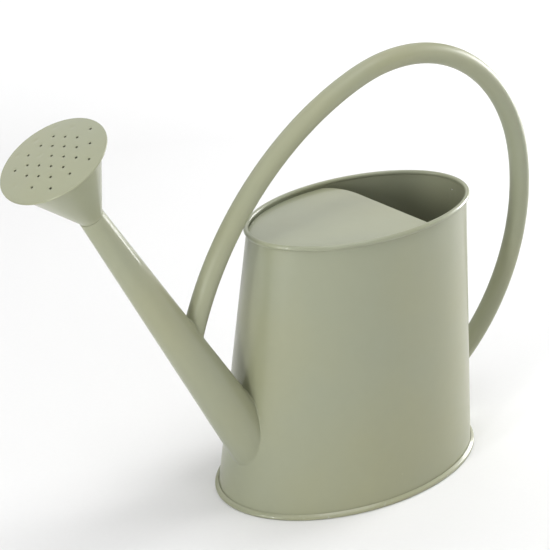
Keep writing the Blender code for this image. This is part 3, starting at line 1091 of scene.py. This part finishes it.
@dataclass
class Handle:
    """The hoop: a round tube through three bends, each a circle's arc that runs smoothly into the next.

    `bends` gives each arc's radius and its sweep in degrees. The tube's ends are looked for over
    `front_search` and `back_search` of its length.
    """

    spout: SpoutShape
    tank: TankShape
    radius: float = 0.0080
    wall: float = 0.0008
    start: tuple[float, float] = (-0.1555, 0.1446)
    heading: float = math.radians(75.8)
    bends: tuple[tuple[float, float], ...] = ((0.2475, 57.3), (0.1366, 94.2), (0.1650, 75.2))
    bead: float = 0.0014
    front_search: float = 0.060
    back_search: float = 0.090
    search_steps: int = 600

    @property
    def length(self) -> float:
        """The length of the whole centre line."""
        return sum(radius * math.radians(sweep) for radius, sweep in self.bends)

    def centre_line(self, along: np.ndarray) -> tuple[np.ndarray, np.ndarray]:
        """Points and inward directions on the centre line at distances along it.

        On a bend that starts at p with heading h and radius R, after an arc s the heading is h - s / R and
        the point is p + R * (sin h - sin(h - s / R), cos(h - s / R) - cos h).

        Args:
            along: the distances.

        Returns:
            The points, and the directions from them towards the middle of the bend.
        """
        place = np.array([self.tank.centre_x + self.start[0], self.start[1]])
        heading = self.heading
        done = 0.0
        points = np.zeros(along.shape + (2,))
        headings = np.zeros(along.shape)
        for radius, sweep in self.bends:
            angle = (along - done) / radius
            turned = heading - angle
            arc = np.stack([math.sin(heading) - np.sin(turned), np.cos(turned) - math.cos(heading)], axis=-1)
            here = along >= done
            points = np.where(here[..., None], place + radius * arc, points)
            headings = np.where(here, turned, headings)
            end = heading - math.radians(sweep)
            chord = [math.sin(heading) - math.sin(end), math.cos(end) - math.cos(heading)]
            place = place + radius * np.array(chord)
            done += radius * math.radians(sweep)
            heading = end
        zero = np.zeros(along.shape)
        line = np.stack([points[..., 0], zero, points[..., 1]], axis=-1)
        inward = np.stack([np.sin(headings), zero, -np.cos(headings)], axis=-1)
        return line, inward

    def point(self, turn: np.ndarray, along: np.ndarray, radius: float) -> np.ndarray:
        """centre + radius * (cos turn * inward + sin turn * Y)."""
        line, inward = self.centre_line(along)
        return line + radius * circle(turn, inward, Y_AXIS)

    def ends(self, turn: np.ndarray, radius: float) -> tuple[np.ndarray, np.ndarray]:
        """Finds where lines along the tube leave the spout and where they meet the tank.

        Args:
            turn: the lines' angles round the tube.
            radius: how far they are from its middle.

        Returns:
            The distances along the tube where each line starts and ends.
        """
        steps = np.arange(self.search_steps + 1)[:, None]
        searches = (
            (self.spout.depth, 0.0, self.front_search / self.search_steps),
            (self.tank.depth, self.length, -self.back_search / self.search_steps),
        )
        found = []
        for depth, start, step in searches:
            inside = depth(self.point(turn, start + step * steps, radius)) < 0.0
            found.append(start + step * (inside * steps).max(axis=0))
        return found[0], found[1]

    def build_tube(self) -> None:
        """Makes the tube: outer and inner face, each line ending on the spout and on the tank."""
        turn = once_round(64)
        faces = []
        for radius, steps in ((self.radius, 260), (self.radius - self.wall, 130)):
            first, last = self.ends(turn, radius)
            share = np.linspace(0.0, 1.0, steps)[:, None]
            along = first + (last - first) * share
            faces.append(self.point(turn, along, radius))
        tube = grid_object("handle_hoop", np.concatenate([faces[0], faces[1][::-1]]))
        dress(tube, HOOP_PAINT, Body.CAN, ["handle_tube"])

    def build_beads(self) -> None:
        """Makes the solder at the two feet."""
        turn = once_round(96)
        first, last = self.ends(turn, self.radius)
        uneven = 1.0 + 0.10 * np.sin(2 * turn + 1.0) + 0.07 * np.sin(5 * turn)
        feet = (
            ("handle_front_bead", first, 0.004, self.spout.depth, "handle_front_solder"),
            ("handle_back_bead", last, -0.004, self.tank.depth, "handle_back_solder"),
        )
        for name, along, step, depth, node in feet:
            junction = snapped(depth, self.point(turn, along, self.radius))
            up = unit(self.point(turn, along + step, self.radius) - self.point(turn, along, self.radius))
            dress(fillet_ring(name, junction, up, depth, self.bead * uneven), SOLDER_PAINT, Body.CAN, [node])


# ---------------------------------------------------------------- rose


@dataclass
class Rose:
    """The rose: spigot, cone and crowned face with its spray holes, turned about the spout's mouth.

    The holes' pitch and outer row are shares of the rose's radius. Holes in `clogged` stay closed with paint.
    """

    spout: SpoutShape
    steps: int = 256
    cock: float = math.radians(1.6)
    radius: float = 0.0395
    length: float = 0.0552
    crown: float = 0.0024
    crimp: float = 0.0016
    edge_radius: float = 0.0008
    lip_radius: float = 0.0006
    lip_reach: float = 0.0020
    cone_inset: float = 0.0045
    neck_radius: float = 0.0092
    spigot_length: float = 0.0180
    spigot_top: float = 0.0015
    hole_radius: float = 0.0010
    hole_pitch: float = 0.265
    outer_row: float = 0.70
    row_turn: float = math.radians(48.5)
    pattern_shift: tuple[float, float] = (0.0014, 0.0014)
    clogged: tuple[int, ...] = (2, 13, 14, 15, 25, 30)
    dish_depth: float = 0.00028
    dish_width: float = 0.0019

    def tipped(self, cock: float) -> tuple[np.ndarray, np.ndarray]:
        """The spout's directions, tipped up.

        Args:
            cock: by how much, in radians.

        Returns:
            The axis, and the direction up across it.
        """
        axis, across = self.spout.axis, self.spout.across
        flat, lift = math.cos(cock), math.sin(cock)
        return flat * axis + lift * across, flat * across - lift * axis

    def turned(self, profile: np.ndarray, cock: float, steps: int) -> np.ndarray:
        """Turns a profile about an axis through the mouth.

        Args:
            profile: points of (radius, height above the mouth).
            cock: how far the axis is tipped up, in radians.
            steps: how many points each ring has.

        Returns:
            A grid of points, a ring for each of the profile's.
        """
        axis, across = self.tipped(cock)
        radius, height = profile.T[:, :, None, None]
        return self.spout.mouth + radius * circle(once_round(steps), across, Y_AXIS) + height * axis

    def hole_places(self) -> np.ndarray:
        """The holes in the face's plane: the middle, rings on a six-fold pattern and an outer row.

        Returns:
            Places of (up, aside) from the middle of the face.
        """
        steps = np.arange(6)
        places = [np.zeros((1, 2))]
        rows = (
            (self.hole_pitch, 0.0),
            (2 * self.hole_pitch, 0.0),
            (3 * self.hole_pitch, 0.0),
            (math.sqrt(3.0) * self.hole_pitch, 0.5),
            (self.outer_row, 0.5),
        )
        for distance, shift in rows:
            angle = self.row_turn + (steps + shift) * FULL_TURN / 6
            places.append(distance * self.radius * np.stack([np.cos(angle), np.sin(angle)], axis=1))
        return np.vstack(places) + np.array(self.pattern_shift)

    def build_spigot(self) -> None:
        """Makes the spigot, its lower end drawn in a little so that it finds the mouth."""
        outer = self.spout.mouth_radius - GAUGE.sheet - GAUGE.gap
        middle = outer - GAUGE.sheet / 2
        corners = [
            [middle, self.spigot_top + 0.0010],
            [middle, -self.spigot_length + 0.0025],
            [middle - 0.0006, -self.spigot_length],
        ]
        profile = thickened(rounded(corners, 0.0015), GAUGE.sheet)
        piece = grid_object("rose_spigot_tube", self.turned(profile, 0.0, 96))
        dress(piece, RUBBED_PAINT, Body.ROSE, ["rose_spigot", "rose_neck_solder"])

    def build_cone(self) -> None:
        """Makes the cone: a short neck, the straight flare and the flange that the face is crimped on."""
        flange = self.length - self.crimp / 2
        corners = [
            [self.neck_radius - GAUGE.sheet / 2, 0.0006],
            [self.neck_radius - GAUGE.sheet / 2 + 0.0003, 0.0022],
            [self.radius - self.cone_inset, flange],
            [self.radius - GAUGE.sheet - 2 * GAUGE.gap, flange],
        ]
        path = rounded(corners, 0.0012)
        flat = np.linspace(path[-2], path[-1], 40)
        profile = thickened(np.vstack([path[:-2], flat]), GAUGE.sheet)
        cone = grid_object("rose_cone_sheet", self.turned(profile, self.cock, 160))
        dress(cone, TUBE_PAINT, Body.ROSE, ["rose_cone"])

    def face_profile(self) -> np.ndarray:
        """The face's section, from its middle out: crown, shallow step, round edge, crimp, and back inside.

        The crown is a circle's arc that rises by `crown` over the flat part's radius.

        Returns:
            Points of (radius, height above the mouth).
        """
        lip = self.lip_radius
        turned_down = self.edge_radius
        edge = self.radius - turned_down - 0.0006
        crown_radius = (edge**2 + self.crown**2) / (2 * self.crown)
        spread = np.linspace(0.0, edge, 76)
        rise = np.sqrt(crown_radius**2 - spread**2) - crown_radius + self.crown
        outer = np.stack([spread, self.length + rise], axis=1)
        bend = arc_points((self.radius - turned_down, self.length - turned_down), turned_down, 100.0, -8.0, 9)
        low = self.length - self.crimp
        under = arc_points((self.radius - lip, low + lip), lip, -10.0, -90.0, 5)
        tuck = self.radius - self.lip_reach
        inner = self.radius - GAUGE.sheet - GAUGE.gap
        inside = [[tuck, low], [tuck, low + 0.0003], [inner, low + 0.0004], [inner, self.length - 0.0008]]
        back = outer[::-8] - np.array([0.0, GAUGE.sheet])
        back[-1, 0] = 0.0
        return np.vstack([outer, bend, under, inside, back])

    def build_face(self) -> None:
        """Makes the face: dished a little round each hole, with the open holes cut through.

        The dish is depth * exp(-(distance to the nearest hole / width)^2), along the rose's axis.
        """
        profile = self.face_profile()
        axis, across = self.tipped(self.cock)
        points = self.turned(profile, self.cock, self.steps)
        plan = profile[:, :1, None] * circle(once_round(self.steps), *np.eye(2))
        holes = self.hole_places()
        nearest = np.linalg.norm(plan[:, :, None] - holes, axis=-1).min(axis=-1)
        dish = self.dish_depth * np.exp(-((nearest / self.dish_width) ** 2))
        face = grid_object("rose_face_sheet", points - dish[..., None] * axis, along=False)
        ring = self.hole_radius * circle(once_round(16), across, Y_AXIS)
        foot, top = (self.length - 0.0060) * axis, (self.length + 0.0080) * axis
        pins = []
        for number, (up, aside) in enumerate(np.delete(holes, self.clogged, axis=0)):
            centre = self.spout.mouth + up * across + aside * Y_AXIS
            pins.append(pin(f"hole_{number}", centre + foot, centre + top, ring))
        carve(face, joined(pins))
        dress(face, SHEET_PAINT, Body.ROSE, ["rose_face"])


# ---------------------------------------------------------------- studio


@dataclass(frozen=True)
class Softbox:
    """A soft light: where it stands, seen from the can, its width and height, and how strong it is."""

    name: str
    azimuth: float
    elevation: float
    width: float
    height: float
    power: float
    distance: float = 1.9


@dataclass
class Studio:
    """A plain pale floor, soft light and the camera.

    `surround` is the light that comes from all round and `backdrop` how bright the empty studio looks.
    """

    low: Vector
    high: Vector
    azimuth: float = -39.71
    elevation: float = 23.626
    roll: float = -0.254
    distance: float = 1.430
    lens: float = 125.943
    aim_along: float = -0.0228
    aim_height: float = 0.1815
    softboxes: tuple[Softbox, ...] = (
        Softbox("overhead", -30.0, 78.0, 1.2, 1.2, 6.5),
        Softbox("left_high", -85.0, 60.0, 1.6, 0.6, 4.0),
        Softbox("overhead_right", 60.0, 70.0, 0.9, 0.8, 11.0),
        Softbox("back_sheet", 166.0, 42.0, 3.2, 2.4, 28.0, 2.0),
        Softbox("front_high", 0.0, 38.0, 1.0, 0.8, 5.5),
        Softbox("front_low", -20.0, 8.0, 1.4, 0.5, 2.9),
        Softbox("left_tall", -78.0, 22.0, 0.16, 1.3, 10.0),
        Softbox("left_strip", -64.0, 12.0, 0.08, 0.7, 11.0),
        Softbox("right_soft", 68.0, 42.0, 2.0, 1.6, 5.0),
        Softbox("right_strip", 90.0, 8.0, 0.75, 1.0, 34.0),
    )
    surround: float = 0.03
    backdrop: float = 0.93
    glow_start: float = 0.8
    glow_end: float = 3.0
    floor_drop: float = 0.0002

    @staticmethod
    def direction(azimuth: float, elevation: float) -> Vector:
        """The direction towards a viewer or a light.

        Args:
            azimuth: in degrees, 0 at -Y.
            elevation: in degrees above the horizon.

        Returns:
            A unit vector.
        """
        turn = math.radians(azimuth)
        rise = math.radians(elevation)
        return Vector((math.sin(turn) * math.cos(rise), -math.cos(turn) * math.cos(rise), math.sin(rise)))

    def build_camera(self) -> None:
        """Stands the camera off the can and turns it to look at the aim point."""
        data = bpy.data.cameras.new("camera")
        data.lens = self.lens
        data.sensor_width = 36.0
        camera = put_in_scene("camera", data)
        back = self.direction(self.azimuth, self.elevation)
        turn = math.radians(self.azimuth)
        right = Vector((math.cos(turn), math.sin(turn), 0.0))
        upright = Matrix((right, back.cross(right), back)).transposed().to_4x4()
        aim = Vector((self.aim_along, 0.0, self.aim_height))
        roll = Matrix.Rotation(math.radians(self.roll), 4, "Z")
        camera.matrix_world = Matrix.Translation(aim + back * self.distance) @ upright @ roll
        bpy.context.scene.camera = camera

    def build_light(self) -> None:
        """Hangs the softboxes round the can and sets the pale surround."""
        centre = (self.low + self.high) / 2
        for box in self.softboxes:
            data = bpy.data.lights.new(box.name, "AREA")
            data.shape = "RECTANGLE"
            data.size = box.width
            data.size_y = box.height
            data.energy = box.power
            light = put_in_scene(box.name, data)
            light.visible_camera = False
            back = self.direction(box.azimuth, box.elevation)
            turned = back.to_track_quat("Z", "Y").to_matrix().to_4x4()
            light.matrix_world = Matrix.Translation(centre + back * box.distance) @ turned
        world = bpy.data.worlds.new("surround")
        bpy.context.scene.world = world
        world.use_nodes = True
        net = Network(world.node_tree)
        seen = net.node("ShaderNodeLightPath", {}, {})["Is Camera Ray"]
        strength = self.surround + seen * (self.backdrop - self.surround)
        glow = net.node("ShaderNodeBackground", {}, {"Color": (1.0, 1.0, 1.0, 1.0), "Strength": strength})
        net.node("ShaderNodeOutputWorld", {}, {"Surface": glow["Background"]})

    def build_floor(self) -> None:
        """Lays a large pale disc under the can; beyond the softboxes' reach it glows faintly."""
        radius = np.array([0.0, 0.5, 2.0, 6.0])[:, None, None]
        points = radius * circle(once_round(96), X_AXIS, Y_AXIS) - self.floor_drop * Z_AXIS
        floor = grid_object("floor", points, along=False)
        if floor.data.polygons[0].normal.z < 0.0:
            floor.data.flip_normals()
        made, net = new_material("floor_paper")
        place = net.object_place()
        tooth = net.noise(place, 300.0, 3.0)
        away = net.node("ShaderNodeVectorMath", {"operation": "LENGTH"}, {"Vector": place})["Value"]
        black = (0.0, 0.0, 0.0, 1.0)
        glow = net.blend(away.ramp(self.glow_start, self.glow_end), black, opaque((1.0, 1.0, 1.0)))
        tone = net.blend(tooth, opaque((0.78, 0.78, 0.78)), opaque((0.80, 0.80, 0.80)))
        net.surface(
            {"Base Color": tone, "Roughness": 0.9, "Emission Color": glow, "Emission Strength": self.backdrop}
        )
        floor.data.materials.append(made)
        floor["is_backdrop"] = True

    def build(self) -> None:
        """Sets up the camera, light and floor."""
        self.build_camera()
        self.build_light()
        self.build_floor()
        view = bpy.context.scene.view_settings
        view.view_transform = "Standard"
        view.look = "None"


def main() -> None:
    """Loads the frame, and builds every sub-assembly and the studio round it."""
    logging.basicConfig(level=logging.INFO, format="%(name)s: %(message)s")
    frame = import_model()
    low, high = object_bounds()
    Studio(low, high).build()

    tank = Tank(TankShape.from_frame())
    spout = SpoutShape.from_frame(frame)
    tank.build_wall(spout)
    tank.build_base()
    tank.build_cover()
    tank.build_inner_seam()
    tank.dress_wire(frame["nodes"])

    made_spout = Spout(spout, tank.shape)
    made_spout.build_tube()
    made_spout.build_bead()

    handle = Handle(spout, tank.shape)
    handle.build_tube()
    handle.build_beads()

    rose = Rose(spout)
    rose.build_spigot()
    rose.build_cone()
    rose.build_face()


if __name__ == "__main__":
    main()
